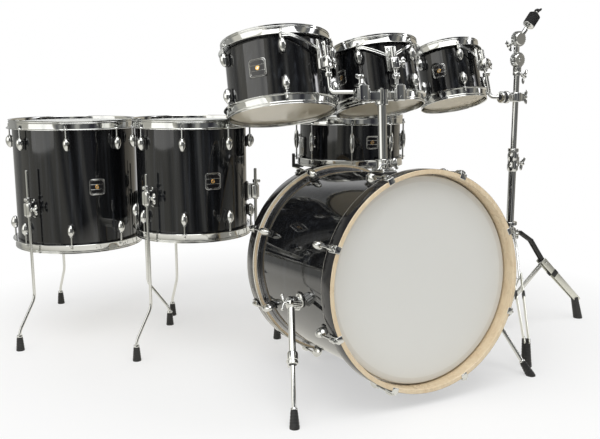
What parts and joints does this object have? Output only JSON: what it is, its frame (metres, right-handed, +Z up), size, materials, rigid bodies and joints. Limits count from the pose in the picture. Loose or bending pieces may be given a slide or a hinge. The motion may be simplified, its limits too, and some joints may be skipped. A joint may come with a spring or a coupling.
{
  "type": "drum kit",
  "caption": "Black gloss drum kit with chrome hardware: bass drum, rack toms, floor toms, snare on its stand, and a cymbal stand holding the smallest tom.",
  "frame": {"origin": "on the floor, under the middle of the kit's footprint", "axes": "+Z up, the bass drum's front head faces -Y and the player sits at +Y, +X is to the left of the seated player"},
  "size_m": [1.9034, 1.4627, 1.0879],
  "materials": {
    "black_wrap": "gloss",
    "chrome": "polished",
    "coated_head": "coated",
    "film_head": "clear film",
    "black_hoop": "gloss",
    "rubber": "matte",
    "snare_steel": "satin"
  },
  "bodies": {
    "drums_and_stands": {"bass_shell": "black_wrap", "bass_front_head": "coated_head", "bass_batter_head": "coated_head", "bass_front_hoop": "black_hoop", "bass_batter_hoop": "black_hoop", "floor16_shell": "black_wrap", "floor16_batter_head": "coated_head", "floor16_bottom_head": "film_head", "floor16_batter_hoop": "chrome", "floor16_bottom_hoop": "chrome", "floor14_shell": "black_wrap", "floor14_batter_head": "coated_head", "floor14_bottom_head": "film_head", "floor14_batter_hoop": "chrome", "floor14_bottom_hoop": "chrome", "snare_stand_base": "chrome", "cymbal_stand_base": "chrome"},
    "spur_left": {"spur_left_tube": "chrome"},
    "spur_left_leg": {"spur_left_leg": "chrome"},
    "spur_right": {"spur_right_tube": "chrome"},
    "spur_right_leg": {"spur_right_leg": "chrome"},
    "holder_post": {"tom_holder_post": "chrome"},
    "tom12_arm": {"tom12_arm": "chrome"},
    "tom10_arm": {"tom10_arm": "chrome"},
    "tom12": {"tom12_shell": "black_wrap", "tom12_batter_head": "coated_head", "tom12_bottom_head": "film_head", "tom12_batter_hoop": "chrome", "tom12_bottom_hoop": "chrome", "tom12_bracket": "chrome"},
    "tom10": {"tom10_shell": "black_wrap", "tom10_batter_head": "coated_head", "tom10_bottom_head": "film_head", "tom10_batter_hoop": "chrome", "tom10_bottom_hoop": "chrome", "tom10_bracket": "chrome"},
    "tom8": {"tom8_shell": "black_wrap", "tom8_batter_head": "coated_head", "tom8_bottom_head": "film_head", "tom8_batter_hoop": "chrome", "tom8_bottom_hoop": "chrome", "tom8_bracket": "chrome"},
    "tom8_clamp": {"tom8_clamp": "chrome"},
    "snare": {"snare_stand_basket": "chrome", "snare_wires": "snare_steel", "snare_shell": "black_wrap", "snare_batter_head": "coated_head", "snare_bottom_head": "film_head", "snare_batter_hoop": "chrome", "snare_bottom_hoop": "chrome"},
    "snare_lever": {"snare_strainer_lever": "chrome"},
    "cymbal_tube": {"cymbal_stand_tube": "chrome"},
    "cymbal_tilter": {"cymbal_tilter": "chrome"},
    "cymbal_seat": {"cymbal_seat": "rubber"},
    "floor16_leg_1": {"floor16_leg_1": "chrome"},
    "floor16_leg_2": {"floor16_leg_2": "chrome"},
    "floor16_leg_3": {"floor16_leg_3": "chrome"},
    "floor14_leg_1": {"floor14_leg_1": "chrome"},
    "floor14_leg_2": {"floor14_leg_2": "chrome"},
    "floor14_leg_3": {"floor14_leg_3": "chrome"}
  },
  "joints": [
    {"name": "spur_left_fold", "type": "hinge", "parent": "drums_and_stands", "child": "spur_left", "pos_m": [-0.3184, -0.5042, 0.26499], "axis": [-0.9687, 0.1437, 0.2026], "range_deg": [0, 60]},
    {"name": "spur_left_reach", "type": "slide", "parent": "spur_left", "child": "spur_left_leg", "axis": [-0.2484, -0.5605, -0.79], "range_m": [-0.03, 0.03]},
    {"name": "spur_right_fold", "type": "hinge", "parent": "drums_and_stands", "child": "spur_right", "pos_m": [0.291, -0.5042, 0.26499], "axis": [-0.9687, -0.1437, -0.2026], "range_deg": [0, 60]},
    {"name": "spur_right_reach", "type": "slide", "parent": "spur_right", "child": "spur_right_leg", "axis": [0.2484, -0.5605, -0.79], "range_m": [-0.03, 0.03]},
    {"name": "holder_post_height", "type": "slide", "parent": "drums_and_stands", "child": "holder_post", "axis": [0, 0.0655, 0.9979], "range_m": [-0.02, 0.03]},
    {"name": "tom12_tilt", "type": "hinge", "parent": "holder_post", "child": "tom12_arm", "pos_m": [-0.0837, -0.46288, 0.82421], "axis": [1, 0, 0], "range_deg": [-3, 12]},
    {"name": "tom10_tilt", "type": "hinge", "parent": "holder_post", "child": "tom10_arm", "pos_m": [0.0363, -0.46288, 0.82421], "axis": [1, 0, 0], "range_deg": [-3, 12]},
    {"name": "tom12_height", "type": "slide", "parent": "tom12_arm", "child": "tom12", "axis": [0.0181, 0.2582, 0.9659], "range_m": [-0.01, 0.03]},
    {"name": "tom10_height", "type": "slide", "parent": "tom10_arm", "child": "tom10", "axis": [-0.0045, 0.2588, 0.9659], "range_m": [-0.01, 0.03]},
    {"name": "tom8_height", "type": "slide", "parent": "tom8_clamp", "child": "tom8", "axis": [0, 0.3024, 0.9532], "range_m": [-0.01, 0.03]},
    {"name": "floor16_leg_1_height", "type": "slide", "parent": "drums_and_stands", "child": "floor16_leg_1", "axis": [0, 0, 1], "range_m": [0, 0.12]},
    {"name": "floor16_leg_2_height", "type": "slide", "parent": "drums_and_stands", "child": "floor16_leg_2", "axis": [0, 0, 1], "range_m": [0, 0.12]},
    {"name": "floor16_leg_3_height", "type": "slide", "parent": "drums_and_stands", "child": "floor16_leg_3", "axis": [0, 0, 1], "range_m": [0, 0.12]},
    {"name": "floor14_leg_1_height", "type": "slide", "parent": "drums_and_stands", "child": "floor14_leg_1", "axis": [0, 0, 1], "range_m": [0, 0.12]},
    {"name": "floor14_leg_2_height", "type": "slide", "parent": "drums_and_stands", "child": "floor14_leg_2", "axis": [0, 0, 1], "range_m": [0, 0.12]},
    {"name": "floor14_leg_3_height", "type": "slide", "parent": "drums_and_stands", "child": "floor14_leg_3", "axis": [0, 0, 1], "range_m": [0, 0.12]},
    {"name": "snare_basket_height", "type": "slide", "parent": "drums_and_stands", "child": "snare", "axis": [0, 0, 1], "range_m": [-0.03, 0.03]},
    {"name": "snare_lever_throw", "type": "hinge", "parent": "snare", "child": "snare_lever", "pos_m": [0.40696, 0.06329, 0.6108], "axis": [0.0958, 0.9954, 0], "range_deg": [0, 80]},
    {"name": "cymbal_tube_height", "type": "slide", "parent": "drums_and_stands", "child": "cymbal_tube", "axis": [0, 0, 1], "range_m": [-0.08, 0.1]},
    {"name": "tilter_lower_tilt", "type": "hinge", "parent": "cymbal_tube", "child": "cymbal_tilter", "pos_m": [0.5913, -0.3342, 0.922], "axis": [0, 1, 0], "range_deg": [-45, 45]},
    {"name": "tilter_upper_tilt", "type": "hinge", "parent": "cymbal_tilter", "child": "cymbal_seat", "pos_m": [0.5913, -0.3342, 0.989], "axis": [0, 1, 0], "range_deg": [-75, 45]},
    {"name": "tom8_clamp_swivel", "type": "hinge", "parent": "cymbal_tube", "child": "tom8_clamp", "pos_m": [0.5913, -0.3342, 0.802], "axis": [0, 0, 1], "range_deg": [-30, 15]}
  ]
}
